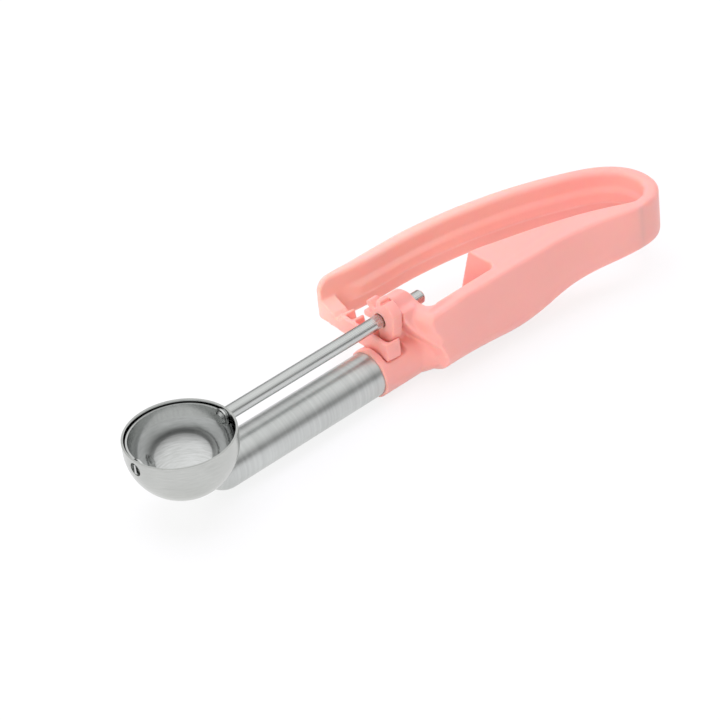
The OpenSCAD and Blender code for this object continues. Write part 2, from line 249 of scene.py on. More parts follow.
def steel(name, stretch, grain, base=STEEL_TONE, low=0.2, high=0.36, relief=0.03, streak=0.1,
          polished=None):
    """Brushed stainless. Tone is 0.6 of the fine noise plus 0.4 of a broad one, and runs from the
    base colour less a streak to the base plus a streak. Roughness runs from low to high with the
    fine noise. Nearer to the point polished than the middle of the bowl's wall, so on the bowl's
    inside, the surface is brighter and smoother."""
    f = Finish(name)
    fine = f.stretched_noise(grain, stretch, 4.0)
    broad = f.stretched_noise(BROAD_SCALE, (1.0, 1.0, 1.0), 2.0)
    tone = (fine * 0.6 + broad * 0.4).clamp()
    colour = f.ramp(tone, (0.3, scaled(base, 1 - streak)), (0.7, scaled(base, 1 + streak)))
    rough = (fine * (high - low) + low).clamp()
    if polished:
        reach = f.node("ShaderNodeVectorMath", {"operation": "DISTANCE"}, out=1,
                       in0=f.place, in1=polished)
        inside = ((BOWL_R - MID_WALL - reach * MM) * POLISH_STEP).clamp()
        bright = f.ramp(tone, (0.3, POLISHED_LOW), (0.7, POLISHED_HIGH))
        colour = f.mix_colour(inside, colour, bright)
        rough = (rough + inside * (POLISHED_ROUGHNESS - rough)).clamp()
    f.surface(Base_Color=colour, Metallic=1.0, Roughness=rough)
    f.bump(fine, relief, RELIEF_DEPTH)
    return f.material


# %% One steel for each way of working the metal
TUBE_STEEL = steel("tube_stainless_turned", (900.0, 14.0, 14.0), 1.0, low=0.24, high=0.4,
                   streak=0.14)
ROD_STEEL = steel("rod_bright_drawn", (8.0, 400.0, 400.0), 10.0, low=0.2, high=0.34)
BOWL_STEEL = steel("bowl_stainless_spun", (40.0, 40.0, 500.0), 6.0, BOWL_TONE, low=0.16, high=0.28,
                   polished=tuple((ORIGIN - (0, 0, BOWL_STRAIGHT)) / MM))
BLADE_STEEL = steel("blade_stainless", (200.0, 200.0, 30.0), 6.0, BLADE_TONE, low=0.14, high=0.24)
BRAZE_METAL = steel("braze_filler", (90.0, 90.0, 90.0), 6.0, BRAZE_TONE, low=0.3, high=0.5)
print("steels:", [m.name for m in (TUBE_STEEL, ROD_STEEL, BOWL_STEEL, BLADE_STEEL, BRAZE_METAL)])

# %% [markdown]
# ## The pink plastic
# Handle, arm and pinion are moulded from one opaque, slightly glossy plastic. Its own colour is
# even, with faint marks where the melt flowed, and light sinks in by a millimetre or two, which
# softens the shadows. Plain paint would look hard, so a little subsurface scattering is added. The
# arm is a thin wall with light behind it and looks lighter than the thick grip; that light is
# painted in, as a base colour that rises to a lighter tone across the tool towards the arm.

# %% Pink plastic finish
PINK_TONE = (0.95, 0.43, 0.372)
ARM_PAINTED_LIGHT_LOW, ARM_PAINTED_LIGHT_HIGH = (0.96, 0.52, 0.435), (0.98, 0.55, 0.46)   # painted light: lighter tones of the arm, for the light behind and round its thin wall
THIN_FROM, THIN_OVER = 6.0, 16.0     # mm across the tool, where the painted light comes in
SINK_DEPTH = 0.002                   # metres that light sinks in
SINK_SHARES = (1.0, 0.36, 0.2)       # of that depth for red, green and blue
FLOW_SCALE, TEXTURE_SCALE, TEXTURE_DEPTH = 40.0, 2500.0, 0.00005


def plastic(name, base):
    """Semi-gloss moulded plastic: even colour, faint flow marks and a very fine moulded texture.
    Roughness is 0.34 plus 0.08 of the flow marks. Painted light: the arm takes a lighter tone, for
    the light behind its thin wall, which comes in with y, from the start over the span in mm set
    above."""
    f = Finish(name)
    flow = f.stretched_noise(FLOW_SCALE, (0.5, 1.0, 1.0), 3.0)
    fine = f.stretched_noise(TEXTURE_SCALE, (1.0, 1.0, 1.0), 2.0)
    colour = f.ramp(flow, (0.25, scaled(base, 0.96)), (0.75, scaled(base, 1.03)))
    across = f.node("ShaderNodeSeparateXYZ", out=1, Vector=f.place)
    # painted light: the arm's share of the lighter tone, rising across the tool with y
    painted_light_share = ((across * MM - THIN_FROM) / THIN_OVER).clamp()
    lit_through = f.ramp(flow, (0.25, ARM_PAINTED_LIGHT_LOW), (0.75, ARM_PAINTED_LIGHT_HIGH))
    f.surface(Base_Color=f.mix_colour(painted_light_share, colour, lit_through),
              Roughness=(flow * 0.08 + 0.34).clamp(), Subsurface_Weight=0.6,
              Subsurface_Scale=SINK_DEPTH, Subsurface_Radius=SINK_SHARES)
    f.bump(fine, 0.04, TEXTURE_DEPTH)
    return f.material


PINK = plastic("pink_moulded_plastic", PINK_TONE)
print("plastic:", PINK.name, "with", len(PINK.node_tree.nodes), "nodes")

# %% [markdown]
# ## The moulding
# On the real tool the neck, the grip, the loop and the squeeze arm are one injection moulding, with
# every edge rounded a little. The grip is a stack of cross-sections along X, and the loop is one
# section carried along a path. They overlap, the openings are cut out of them, and a voxel remesh
# makes one skin of it all. Smoothing that skin rounds every edge as the mould does.

# %% Smooth curves through key points
def curve(keys, x):
    """Smooth curve through keys (x, value): each span is a cubic whose end slopes are those of the
    line through the neighbouring keys."""
    keys = np.array(keys, float)
    kx, kv = keys[:, 0], keys[:, 1]
    x = np.clip(np.asarray(x, float), kx[0], kx[-1])
    order = np.arange(len(kx))
    before, after = np.maximum(order - 1, 0), np.minimum(order + 1, len(kx) - 1)
    slopes = (kv[after] - kv[before]) / (kx[after] - kx[before])
    i = np.clip(np.searchsorted(kx, x, side="right") - 1, 0, len(kx) - 2)
    h = kx[i + 1] - kx[i]
    t = (x - kx[i]) / h
    return (kv[i] * (2 * t**3 - 3 * t**2 + 1) + slopes[i] * h * (t**3 - 2 * t**2 + t)
            + kv[i + 1] * (3 * t**2 - 2 * t**3) + slopes[i + 1] * h * (t**3 - t**2))


def smooth_step(t):
    """0 below 0, 1 above 1, and 3t^2 - 2t^3 between."""
    t = np.clip(t, 0, 1)
    return t * t * (3 - 2 * t)


def rise_over(value, start, end):
    """0 up to start, 1 from end on, and the smooth step of the way between."""
    return smooth_step((value - start) / (end - start))


def path_through(points, count):
    """count points on a smooth cubic through the given points, evenly spaced along its length. The
    slope at each point is half the step from the point before it to the point after it."""
    points = np.array(points, float)
    ends = np.vstack([2 * points[0] - points[1], points, 2 * points[-1] - points[-2]])
    u = np.linspace(0, len(points) - 1, 40 * len(points))
    i = np.minimum(u.astype(int), len(points) - 2)
    t = (u - i)[:, None]
    p0, p1, p2, p3 = ends[i], ends[i + 1], ends[i + 2], ends[i + 3]
    fine = 0.5 * (2 * p1 + (p2 - p0) * t + (2 * p0 - 5 * p1 + 4 * p2 - p3) * t**2
                  + (3 * p1 - p0 - 3 * p2 + p3) * t**3)
    length = np.r_[0, np.cumsum(np.linalg.norm(np.diff(fine, axis=0), axis=1))]
    at = np.linspace(0, length[-1], count)
    return np.stack([np.interp(at, length, fine[:, k]) for k in range(fine.shape[1])], 1)


print("half way up a smooth step:", smooth_step(0.5))


# %% A mesh from an array of points
def add_mesh(name, points_mm, faces):
    """Puts points, in millimetres from the rim's centre, and faces into a new object."""
    data = bpy.data.meshes.new(name)
    data.from_pydata(((np.asarray(points_mm, float) + ORIGIN) / MM).tolist(), [], faces)
    data.update()
    made = bpy.data.objects.new(name, data)
    scene.collection.objects.link(made)
    return made


def closed_skin(name, rings):
    """Rings of points, each joined to the next by quads, with the first and last ring filled.
    Seen from its end, each ring runs anticlockwise, so that the faces point outwards."""
    count, n = rings.shape[:2]
    a = (np.arange(count - 1)[:, None] * n + np.arange(n)[None, :]).ravel()
    b = (np.arange(count - 1)[:, None] * n + (np.arange(n)[None, :] + 1) % n).ravel()
    faces = np.stack([b, b + n, a + n, a], 1).tolist()
    faces.append(list(range(n)))
    faces.append([(count - 1) * n + k for k in range(n)][::-1])
    made = add_mesh(name, rings.reshape(-1, 3), faces)
    return outwards(made)


def outwards(made):
    """Turns the faces of a closed mesh outwards."""
    work = bmesh.new()
    work.from_mesh(made.data)
    bmesh.ops.recalc_face_normals(work, faces=work.faces)
    work.to_mesh(made.data)
    work.free()
    return made


# %% Plain blocks and rounds
def bar(name, low, high):
    """Box between two corners: its lower ring of four corners, then its upper ring."""
    corners = np.array([[(low, high)[i][0], (low, high)[j][1], (low, high)[k][2]]
                        for k in (0, 1) for i, j in ((0, 0), (1, 0), (1, 1), (0, 1))])
    return closed_skin(name, corners.reshape(2, 4, 3))


def round_x(name, x0, x1, y, z, r, steps=96):
    """Cylinder along X: circle of radius r about (y, z), carried from x0 to x1."""
    a = np.linspace(0, 2 * np.pi, steps, endpoint=False)
    ring = np.stack([np.zeros(steps), y + r * np.cos(a), z + r * np.sin(a)], 1)
    return closed_skin(name, np.stack([ring + (x0, 0, 0), ring + (x1, 0, 0)]))


# %% Cutting and joining
def bake(made):
    """Applies an object's modifiers to its mesh."""
    ready = made.evaluated_get(bpy.context.evaluated_depsgraph_get())
    data = bpy.data.meshes.new_from_object(ready)
    made.modifiers.clear()
    made.data = data
    return made


def cut_out(made, cutters):
    """Takes the cutters' volumes out of a piece. The cutters stay, for other cuts."""
    for cutter in cutters:
        step = made.modifiers.new("cut", "BOOLEAN")
        step.operation, step.solver, step.object = "DIFFERENCE", "EXACT", cutter
        bake(made)
    return made


def drop(*objects):
    """Deletes helper objects that have done their work."""
    for o in objects:
        bpy.data.objects.remove(o, do_unlink=True)


RELAX = 0.5   # share of the way to its neighbours' middle that a point moves in each round


def one_skin(name, parts, voxel, rounds):
    """Joins overlapping closed parts into one skin of even quads, then relaxes it for some rounds,
    so that edges take the small radius of a moulding."""
    work = bmesh.new()
    for part in parts:
        work.from_mesh(part.data)
    data = bpy.data.meshes.new(name)
    work.to_mesh(data)
    work.free()
    made = bpy.data.objects.new(name, data)
    scene.collection.objects.link(made)
    drop(*parts)
    remesh = made.modifiers.new("skin", "REMESH")
    remesh.mode, remesh.voxel_size = "VOXEL", voxel / MM
    relax = made.modifiers.new("relax", "SMOOTH")
    relax.factor, relax.iterations = RELAX, rounds
    bake(made)
    made.data.shade_smooth()
    print(name, "faces:", len(made.data.polygons))
    return made


# %% [markdown]
# ## The grip
# In the hand the near side of the handle is a thick, softly rounded body that narrows to the loop.
# It could be carved with a sculpting brush, but then no size would be known. Here it is lofted: at
# each place along the tube a closed ring is drawn from a few numbers, such as how far the near side
# stands out, how low the belly hangs and how round each corner is, and each of those numbers is a
# smooth curve through a few measured values.

# %% Cross-sections of the grip, as (place along the tube, value) in millimetres
GRIP_FRONT, GRIP_REAR, TAIL_END = 84.0, 184.0, 190.0
# how far the near side and the far side stand from the rod's plane, at the top
NEAR = [(77.5, -14.6), (95, -15.9), (100, -16.2), (112, -16.5), (126, -16.9), (140, -17.9),
        (152, -18.9), (160, -19.9), (168, -21.2), (176, -22.7), (184, -23.65), (187, -23.3),
        (190, -22.2)]
FAR = [(77.5, 6.1), (96, 6.1), (99, 4.4), (103, 3.4), (128, 3.2), (140, 0), (154, -5),
       (168, -10.7), (178, -15.3), (182, -17.1), (186, -18.5), (190, -19.2)]
# how much further in the near side's top edge lies, and how much the far side leans out per mm
NEAR_LEAN = [(77.5, 2.1), (96, 2.1), (104, 1.7), (113, 1.1), (125, 1.1), (134, 1.6), (143, 1.9),
             (153, 2.6), (164, 2.6), (172, 2.1), (178, 1.3), (183, 0.3), (185, 0), (190, 0)]
LEAN = [(77.5, 0.06), (96, 0.08), (100, 0.25), (128, 0.3), (145, 0.24), (160, 0.1), (176, 0),
        (186, 0)]
# the belly's level, and the radii of the two lower edges and of the far top edge
LOW = [(77.5, -29), (124, -28.8), (132, -28.3), (138, -26.9), (144, -24.6), (150, -21.7),
       (155, -19.7), (160, -18.7), (166, -18.1), (178, -17.6), (186, -17.4), (190, -17.4)]
NEAR_LOW_R = [(77.5, 8.0), (98, 10.8), (114, 10.8), (135, 8.2), (147, 5.6), (156, 3.4), (186, 2.0)]
FAR_LOW_R = [(77.5, 8), (98, 8), (135, 7), (147, 5), (156, 3), (186, 2)]
FAR_TOP_R = [(77.5, 6.0), (96, 6.0), (99, 2.4), (103, 1.5), (186, 1.5)]
NEAR_TOP_R = 1.0
# how high the boss stands over the rest, and how far the near wall's top dips behind the flare
BOSS_TOP = [(77.5, 3.1), (94.5, 3.1), (96, 2.7), (97.2, 1.5), (98.4, -0.2), (100, -2.0),
            (110, -2.0), (186, -2.0)]
DIP = [(84, 1.6), (97, 1.6), (99, 1.35), (102, 1.1), (105.5, 0.7), (109, 0), (186, 0)]
print("grip from x", GRIP_FRONT, "to", GRIP_REAR, "mm, belly at", float(curve(LOW, 100)))


# %% Pieces of one ring
def corner(y, z, r, start, steps=10):
    """Quarter circle of radius r about (y, z), from angle start."""
    a = np.radians(start + np.linspace(0, 90, steps))
    y, z, r = (np.asarray(value)[:, None] for value in (y, z, r))
    return np.stack([y + r * np.cos(a), z + r * np.sin(a)], -1)


def side(p, q, steps=16):
    """Points between two rings' ends, without the ends."""
    t = np.linspace(0, 1, steps + 2)[1:-1][None, :, None]
    return p[:, None, :] * (1 - t) + q[:, None, :] * t


print("a corner of 1 mm:", corner([0.0], [0.0], [1.0], 0, 3)[0].round(2).tolist())

# %% [markdown]
# ## The flare between neck and grip
# Where the tube's holder meets the grip, the moulding flares out like the bow of a boat, with a
# round boss for the rod above it and a scooped hollow below. A boolean of simple solids would leave
# hard creases, so the near side is one height field: for each place along the tube and each level,
# horn() says how far the skin stands out, and blends boss, skirt, crest and hollow smoothly.

# %% The flare's lines
# the line where the flare steps to the grip's side, as (level, place along the tube)
HORN_EDGE = [(-30, 99.9), (-18.2, 100.0), (-15, 100.7), (-11.8, 99.0), (-9.9, 97.0), (-7.8, 95.4),
             (-4.3, 94.6), (-2.2, 95.7), (-1.0, 97.4), (-0.3, 100.4), (0.6, 105), (1.4, 112),
             (4, 120)]
# along the tube: the skirt's slant, the level where the skirt leaves the boss, the crest's level
SKIRT = [(84, 0), (89.4, 0.05), (91, 0.35), (93, 0.66), (95, 0.98), (97, 1.1), (110, 1.1)]
VALLEY = [(84, -5.2), (91, -5.0), (95, -4.0), (97, -3.2), (110, -2.4)]
CREST = [(84, -3), (88.5, -2.9), (89.8, -4.0), (91, -6.4), (93, -9.6), (95, -12.2), (96.8, -14.6),
         (98.2, -19), (99.6, -27), (101, -34), (110, -60)]
BOSS_R, BOSS_LEAST = 7.0, 2.0            # the boss round the rod, and the least it stands out
HOLDER_LEAST = 6.0                       # the same for the tube's holder, squared
SKIRT_SOFT, EDGE_WIDE, CREST_WIDE = 0.8, 2.4, 1.8
BELLY_Z = (17, 25)                       # below these depths the hollow is longer and plainer
HOLLOW_FROM, HOLLOW_TO, HOLLOW_LONGER = 91, 99.6, 3.2
HOLLOW_POWER, HOLLOW_PLAINER = 3.2, 2.1
print("the flare's edge at the rod's level, x mm:", float(curve(HORN_EDGE, PIVOT_Z)))


# %% The flare's near side
def horn(x, z, grip):
    """How far the near side stands out from the rod's plane between neck and grip. The boss is a
    circle about the rod. The skirt leaves it at the valley's level and slants out by the softened
    depth below it. At the flare's edge the skin steps to the grip's side. Below the crest the tube's
    round holder runs to the grip as a power of the way along the hollow."""
    boss = np.sqrt(np.clip(BOSS_R**2 - np.maximum(z - PIVOT_Z, 0) ** 2, BOSS_LEAST**2, None))
    below = SKIRT_SOFT * np.logaddexp(0, (curve(VALLEY, x) - z) / SKIRT_SOFT)
    upper = np.minimum(boss + curve(SKIRT, x) * below, np.maximum(grip, boss))
    upper = upper + (grip - upper) * smooth_step((x - curve(HORN_EDGE, z) + EDGE_WIDE) / EDGE_WIDE)
    holder = np.sqrt(np.clip(NECK_R**2 - (z - TUBE_Z) ** 2, HOLDER_LEAST, None))
    low = rise_over(-z, *BELLY_Z)
    end = HOLLOW_TO + HOLLOW_LONGER * low
    way = np.clip((x - HOLLOW_FROM) / (end - HOLLOW_FROM), 0, 1)
    power = HOLLOW_POWER - HOLLOW_PLAINER * low
    hollow = holder + (np.maximum(grip, holder) - holder) * way**power
    return hollow + (upper - hollow) * smooth_step((z - curve(CREST, x) + CREST_WIDE) / CREST_WIDE)


# %% The grip's rings
LEAN_DEPTH, LEAN_POWER = 12, 1.5         # the near side leans over this depth below its top
LIFT_Z, LIFT_SIDE = (-7, 0), (0.3, 0.65)   # levels and shares of the width of the boss's slopes
DIP_Z, DIP_Y, DIP_X = (-4, 0), (10, 12), (94, 97)   # where the dip comes in, each way
HORN_END = 104                           # behind this the near side is the plain grip's


def grip_rings(stations):
    """One closed ring per station: a box with four rounded corners, whose sides lean out downwards.
    Ahead of the flare the near side follows the horn, and the boss over the rod stands above the
    rest, rounded down to the window."""
    x = stations
    near, far = curve(NEAR, x), curve(FAR, x)
    low = np.maximum(curve(LOW, x), REST_Z)
    rn, rf, rt = curve(NEAR_LOW_R, x), curve(FAR_LOW_R, x), curve(FAR_TOP_R, x)
    near_r = np.full_like(x, NEAR_TOP_R)
    c1 = corner(far - rt, -rt, rt, 0)
    c2 = corner(near + near_r, -near_r, near_r, 90)
    c3 = corner(near + rn, low + rn, rn, 180)
    c4 = corner(far - rf, low + rf, rf, 270)
    ring = np.concatenate([c1, side(c1[:, -1], c2[:, 0], 40), c2, side(c2[:, -1], c3[:, 0], 40),
                           c3, side(c3[:, -1], c4[:, 0]), c4, side(c4[:, -1], c1[:, 0])], 1)
    y, z = ring[..., 0], ring[..., 1]
    # from here on x and the others are columns, with one value for each ring
    x, near, far, edge_in = x[:, None], near[:, None], far[:, None], curve(NEAR_LEAN, x)[:, None]
    y = y - curve(LEAN, x) * z * np.clip((y - near) / (far - near), 0, 1)
    leaning = edge_in * np.clip(1 + z / LEAN_DEPTH, 0, 1) ** LEAN_POWER
    y = y + leaning * np.clip(y / near, 0, 1)
    # the boss lifts the middle of the top ahead of the window
    boss = np.maximum(curve(BOSS_TOP, x), 0)
    z = z + boss * rise_over(z, *LIFT_Z) * (1 - rise_over(y / (near + edge_in), *LIFT_SIDE))
    # the top of the near wall dips on its outer part behind the flare
    z = z - curve(DIP, x) * rise_over(z, *DIP_Z) * rise_over(-y, *DIP_Y) * rise_over(x, *DIP_X)
    grip = np.maximum(-leaning - near, 1.0)
    y = np.where((x < HORN_END) & (y < 0), y * horn(x, z, grip) / grip, y)
    return np.stack([np.broadcast_to(x, y.shape), y, z], -1)


print("points in a ring:", grip_rings(np.array([100.0])).shape[1])

# %% [markdown]
# ## The loop's band
# From the grip's rear end the moulding runs round in a flat band, back along the far side and up to
# the rack. The band is a leaf spring: it bends when the hand closes, and a rib inside stiffens its
# long straight part. It could be extruded and bent with a modifier. Carrying one section along a
# plan path gives the same form and lets depth, thickness and rib change along the way.

# %% The loop's path and its section, in millimetres
# the middle of the band seen from above, from the grip's rear end round to the rack
LOOP = [(179, -19.4), (184, -20.9), (191.6, -20), (197.2, -15.2), (198.8, -8.2), (196.9, -0.9),
        (190.8, 5.9), (178.5, 12.9), (162.5, 19.5), (143.8, 24.7), (124, 27.8), (104, 28.55),
        (98, 28.85), (92, 29.3), (88, 29.5), (83.8, 29.6)]
# along the arm: the depth of the lower edge, the level of the top edge, the thickness
BAND_LOW = [(83.8, 15.2), (88, 16.2), (93, 17.8), (98, 18.5), (124, 18.3), (144, 18.1),
            (163, 18.0), (180, 17.6), (190, BAND_H), (202, BAND_H)]
BAND_TOP = [(83.8, -3.6), (84.5, -2.1), (85.7, -0.8), (87.3, -0.1), (89, 0), (91, 0), (202, 0)]
BAND_THICK = [(83.8, 2.1), (88, 2.7), (92, 3.3), (98, 4.2), (104, 4.8), (120, BAND_T),
              (130, BAND_T), (202, BAND_T)]
EDGE_R, EDGE_SHARE = 1.9, 0.84           # the edges' radius, at most this share of half the width
RIB, RIB_LEVEL = 1.5, 0.52               # how far the rib stands out, and its share of the depth
RIB_Z = [3.6, 2.6, 1.5, 0.0, -1.5, -2.6, -3.4]
RIB_OUT = [0.0, 0.55, 0.97, 1.0, 0.97, 0.55, 0.0]
print("points that the loop passes:", len(LOOP))


# %% One section for each point of the path
def band_rings(path, rib_scale, low, thick, high):
    """The band's section carried along a plan path: plain outer side, rounded edges, and a sloped
    rib half way down the inner side. Depths are scaled where the band's top is lower than 0."""
    run = np.gradient(path, axis=0)
    run /= np.linalg.norm(run, axis=1)[:, None]
    outer = np.stack([run[:, 1], -run[:, 0]], 1)       # to the right of travel
    a = np.radians(np.linspace(0, 90, 8))
    half, depth, top = (thick / 2)[:, None], low[:, None], high[:, None]
    r = np.minimum(EDGE_R, EDGE_SHARE * half)
    rib = (rib_scale * RIB)[:, None] * np.array(RIB_OUT)
    rows = [(half - r + r * np.cos(a), -r + r * np.sin(a)),
            (-half + r - r * np.sin(a), -r + r * np.cos(a)),
            (-half - rib, -depth * RIB_LEVEL + np.array(RIB_Z)),
            (-half + r - r * np.cos(a), -depth + r - r * np.sin(a)),
            (half - r + r * np.sin(a), -depth + r - r * np.cos(a))]
    s, z = (np.concatenate([row[k] for row in rows], 1) for k in (0, 1))
    z = top + z * (depth + top) / depth
    return np.stack([path[:, 0:1] + outer[:, 0:1] * s, path[:, 1:2] + outer[:, 1:2] * s, z], -1)


# %% Carry the section along the path
PATH_POINTS, ARM_SIDE = 420, 5           # beyond this y the loop is the arm
RIB_FRONT, RIB_REAR = (92, 100), (183, 189)   # where the rib comes in, at the rack and the grip
loop_path = path_through(LOOP, PATH_POINTS)
along, across = loop_path.T
on_arm = across > ARM_SIDE
rib_fade = np.where(on_arm, rise_over(along, *RIB_FRONT), rise_over(along, *RIB_REAR))
band_all = band_rings(loop_path, rib_fade, np.where(on_arm, curve(BAND_LOW, along), BAND_H),
                      curve(BAND_THICK, along), np.where(on_arm, curve(BAND_TOP, along), 0.0))
print("band rings:", len(band_all))

# %% [markdown]
# ## The rack bar
# The arm's front end turns inwards as a toothed bar, which slides through a channel over the neck
# and rolls the pinion. Its teeth have to match the pinion's: eight teeth on a 6.4 mm pitch radius
# give the pitch. The outline is drawn once, from the side, and given thickness across the bar, the
# plainest way to make a rack. A thin lip closes the tooth gaps on the bowl's side.

# %% The rack bar, as (place along the bar from the rod, level) in millimetres
PITCH_R, TOOTH_PLACES = 6.4, 8
PITCH = 2 * math.pi * PITCH_R / TOOTH_PLACES
RACK_TOP, RACK_ROOT, RACK_LOW = -8.2, -11.65, -14.9
RACK_TIP, RACK_END = -7, 30.4            # the bar's free tip, and its end in the band
GAP_TOP, GAP_ROOT = 2.0, 1.45            # half widths of a gap between two teeth
LAST = 4 * PITCH                         # the last gap, wider at its end and shallower
BACK = [(RACK_TIP, RACK_LOW), (28.8, RACK_LOW), (29.9, RACK_LOW + 0.5), (RACK_END, RACK_LOW + 1.6),
        (RACK_END, RACK_TOP + 0.9), (28.8, RACK_TOP + 0.9), (LAST + 2.05, RACK_TOP - 1.4),
        (LAST + 1.2, RACK_ROOT + 0.9), (LAST - 1.2, RACK_ROOT + 0.9), (LAST - 2.05, RACK_TOP)]
TEETH = [point for k in (3, 2, 1) for point in (
    (k * PITCH + GAP_TOP, RACK_TOP), (k * PITCH + GAP_ROOT, RACK_ROOT),
    (k * PITCH - GAP_ROOT, RACK_ROOT), (k * PITCH - GAP_TOP, RACK_TOP))]
TEETH += [(2.1, RACK_TOP), (1.45, RACK_ROOT), (-5.2, RACK_ROOT), (-5.8, RACK_TOP),
          (RACK_TIP, RACK_TOP)]
print("pitch of the teeth, mm:", round(PITCH, 3))


# %% An outline given thickness
RACK_X, RACK_Y, RACK_HALF, LIP_BACK = 84.2, 0.1, 3.0, -1.3
TURN = math.radians(4.5)                 # the bar's slant towards the grip, seen from above


def rack_slab(name, outline, low, high):
    """An outline drawn along the bar's length and up, given thickness from low to high across the
    bar and turned to its place over the channel."""
    line = np.array(outline, float)
    rings = []
    for offset in (low, high):
        x = RACK_X + offset * math.cos(TURN) + line[:, 0] * math.sin(TURN)
        y = RACK_Y - offset * math.sin(TURN) + line[:, 0] * math.cos(TURN)
        rings.append(np.stack([x, y, line[:, 1]], 1))
    return closed_skin(name, np.array(rings))


print("bar's length, mm:", RACK_END - RACK_TIP)

# %% [markdown]
# ## Openings, then one skin
# The moulding has a window that takes the rod's end, a bore for the rod and a channel for the rack.
# They are cut while the pieces are still simple, because booleans on simple solids are safe. Then a
# voxel remesh joins the overlapping parts, and a few rounds of smoothing give each edge the small
# radius that a mould leaves.

# %% The window's block
CLEAR_OF_ALL = 40                        # where a cutter ends outside the moulding
SLOT_X, SLOT_Z = (80.3, 89.4), RACK_LOW - 0.35
WINDOW_X, WINDOW_Y, WINDOW_Z, WINDOW_R = (97.6, 128.0), -10.2, -18.6, 3.0
BORE_X, BORE_R = (88, 102), ROD_R + 0.06


def window_cutter():
    """Upright block with two rounded corners on its near side, open towards +Y and up."""
    r, (x0, x1) = WINDOW_R, WINDOW_X
    a = np.radians(np.linspace(0, 90, 10))
    left = np.stack([x0 + r - r * np.cos(a), WINDOW_Y + r - r * np.sin(a)], 1)
    right = np.stack([x1 - r + r * np.sin(a), WINDOW_Y + r - r * np.cos(a)], 1)
    outline = np.concatenate([left, right, [[x1, CLEAR_OF_ALL], [x0, CLEAR_OF_ALL]]])
    rings = np.stack([np.c_[outline, np.full(len(outline), z)] for z in (WINDOW_Z, CLEAR_OF_ALL)])
    return closed_skin("window_cutter", rings)


print("window, mm:", WINDOW_X[1] - WINDOW_X[0], "long")

# %% Cut the openings
# rings lie closer together at the flare than behind it
FLARE_END, FLARE_RINGS, GRIP_RINGS = 106, 60, 76
UNDER_LOW, UNDER_HIGH = (60, -60, -60), (220, 60, REST_Z)
stations = np.concatenate([np.linspace(GRIP_FRONT, FLARE_END, FLARE_RINGS),
                           np.linspace(FLARE_END + 1, TAIL_END, GRIP_RINGS)])
grip = closed_skin("grip_sections", grip_rings(stations))
neck = round_x("neck_round", NECK_X, GRIP_FRONT + 10, 0, TUBE_Z, NECK_R)
under = bar("under_cutter", UNDER_LOW, UNDER_HIGH)
slot_cut = bar("slot_cutter", (SLOT_X[0], -CLEAR_OF_ALL, SLOT_Z),
               (SLOT_X[1], CLEAR_OF_ALL, CLEAR_OF_ALL))
window = window_cutter()
bore = round_x("bore_cutter", *BORE_X, 0, PIVOT_Z, BORE_R)
cut_out(grip, [slot_cut, window, bore])
cut_out(neck, [slot_cut, under])
drop(slot_cut, window, bore, under)
print("openings cut, grip faces:", len(grip.data.polygons))

# %% Join into one skin
VOXEL, ROUNDS, TAIL_FROM = 0.4, 6, 150
tail = closed_skin("grip_tail", grip_rings(stations[stations > TAIL_FROM]))
moulding = one_skin("moulding", [grip, neck, closed_skin("band_sections", band_all)],
                    VOXEL, ROUNDS)
toothed = rack_slab("toothed_bar", BACK + TEETH, -RACK_HALF, RACK_HALF)
lip = rack_slab("front_lip", BACK + [(RACK_TIP, RACK_TOP)], -RACK_HALF, LIP_BACK)
spring = one_skin("spring", [tail, closed_skin("loop_sections", band_all), toothed, lip],
                  VOXEL, ROUNDS)

# %% [markdown]
# ## Two pieces
# The real moulding is one piece whose loop bends. A rigid hinge would tear it open at the joint, so
# the skin is parted where nothing moves, at the grip's rear end. The grip's part goes with the
# frame, and the loop, with the arm and the rack, stays where it was built.

# %% Part the moulding from the loop
PART_X, PART_Y, FALL, RUN = 96, 17, 23, 88   # a line between arm and grip: a point and its slope


def keep_part(made, choose, name):
    """Keeps the faces of a mesh whose centres pass a test, and closes the cut."""
    work = bmesh.new()
    work.from_mesh(made.data)
    chosen = choose(np.array([f.calc_center_median() for f in work.faces]) * MM - ORIGIN)
    bmesh.ops.delete(work, geom=[f for f, c in zip(work.faces, chosen) if not c], context="FACES")
    rim = [e for e in work.edges if e.is_boundary]
    filled = bmesh.ops.triangle_fill(work, edges=rim, use_beauty=True)
    for piece in rim + [g for g in filled["geom"] if isinstance(g, bmesh.types.BMFace)]:
        piece.smooth = False
    data = bpy.data.meshes.new(name)
    work.to_mesh(data)
    work.free()
    piece = bpy.data.objects.new(name, data)
    scene.collection.objects.link(piece)
    piece.data.materials.append(PINK)
    drop(made)
    print(name, "faces:", len(piece.data.polygons))
    return piece


def on_loop(c):
    """True behind the grip's end, and on the arm's side of a line between the arm and the grip."""
    return (c[:, 0] > GRIP_REAR) | (c[:, 1] > PART_Y - (c[:, 0] - PART_X) * FALL / RUN)


# %% Hand the handle to the frame, and bake the loop where it lies
RACK_BEFORE = 120                        # ahead of this the spring holds nothing but arm and rack
handle = keep_part(moulding, lambda c: ~on_loop(c), "handle_moulding")
loop = keep_part(spring, lambda c: on_loop(c) | (c[:, 0] < RACK_BEFORE), "loop_with_rack")
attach(handle, "frame")
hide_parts("handle_body")
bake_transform(loop)
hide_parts("squeeze_arm")

# %% [markdown]
# ## The pinion
# A small plastic gear sits on the rod's knurled end. Only a few teeth do any work, so the rest of
# the round is a solid sector that stops the blade at each end of its sweep. A gear is a radius for
# every angle: one function gives it, and the outline is given thickness along the rod.

